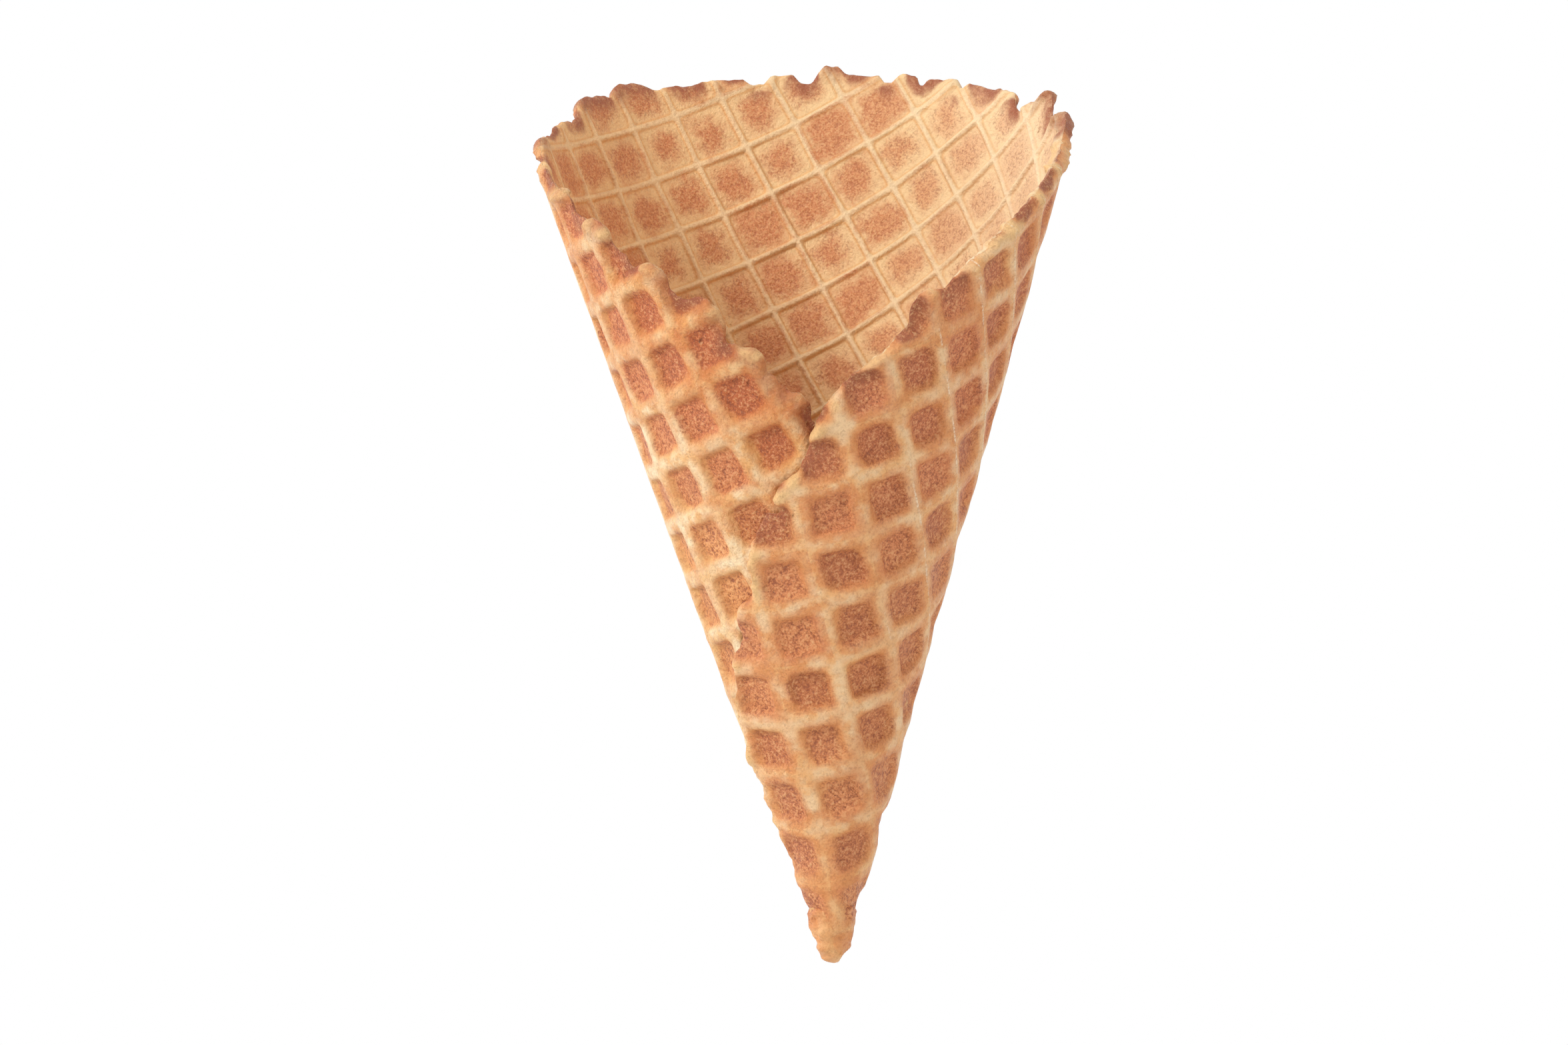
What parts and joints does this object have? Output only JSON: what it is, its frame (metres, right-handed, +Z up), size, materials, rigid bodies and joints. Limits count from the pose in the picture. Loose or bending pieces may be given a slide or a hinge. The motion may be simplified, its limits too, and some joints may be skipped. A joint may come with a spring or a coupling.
{
  "type": "waffle cone",
  "caption": "Rolled waffle cone: a round wafer with a square lattice on both faces, rolled into an open pointed cone that holds scoops of ice cream.",
  "frame": {"origin": "centre of the 50 mm ring round the outside of the cone where a cone holder carries it, on the axis of the back half turn", "axes": "+Z up along the cone's axis towards the mouth, -Y to the side where the outer free edge laps over, +X to the right as seen from there"},
  "size_m": [0.0882, 0.0805, 0.1491],
  "materials": {
    "wafer": "matte"
  },
  "bodies": {
    "root": {"rolled_wafer": "wafer"}
  },
  "joints": []
}
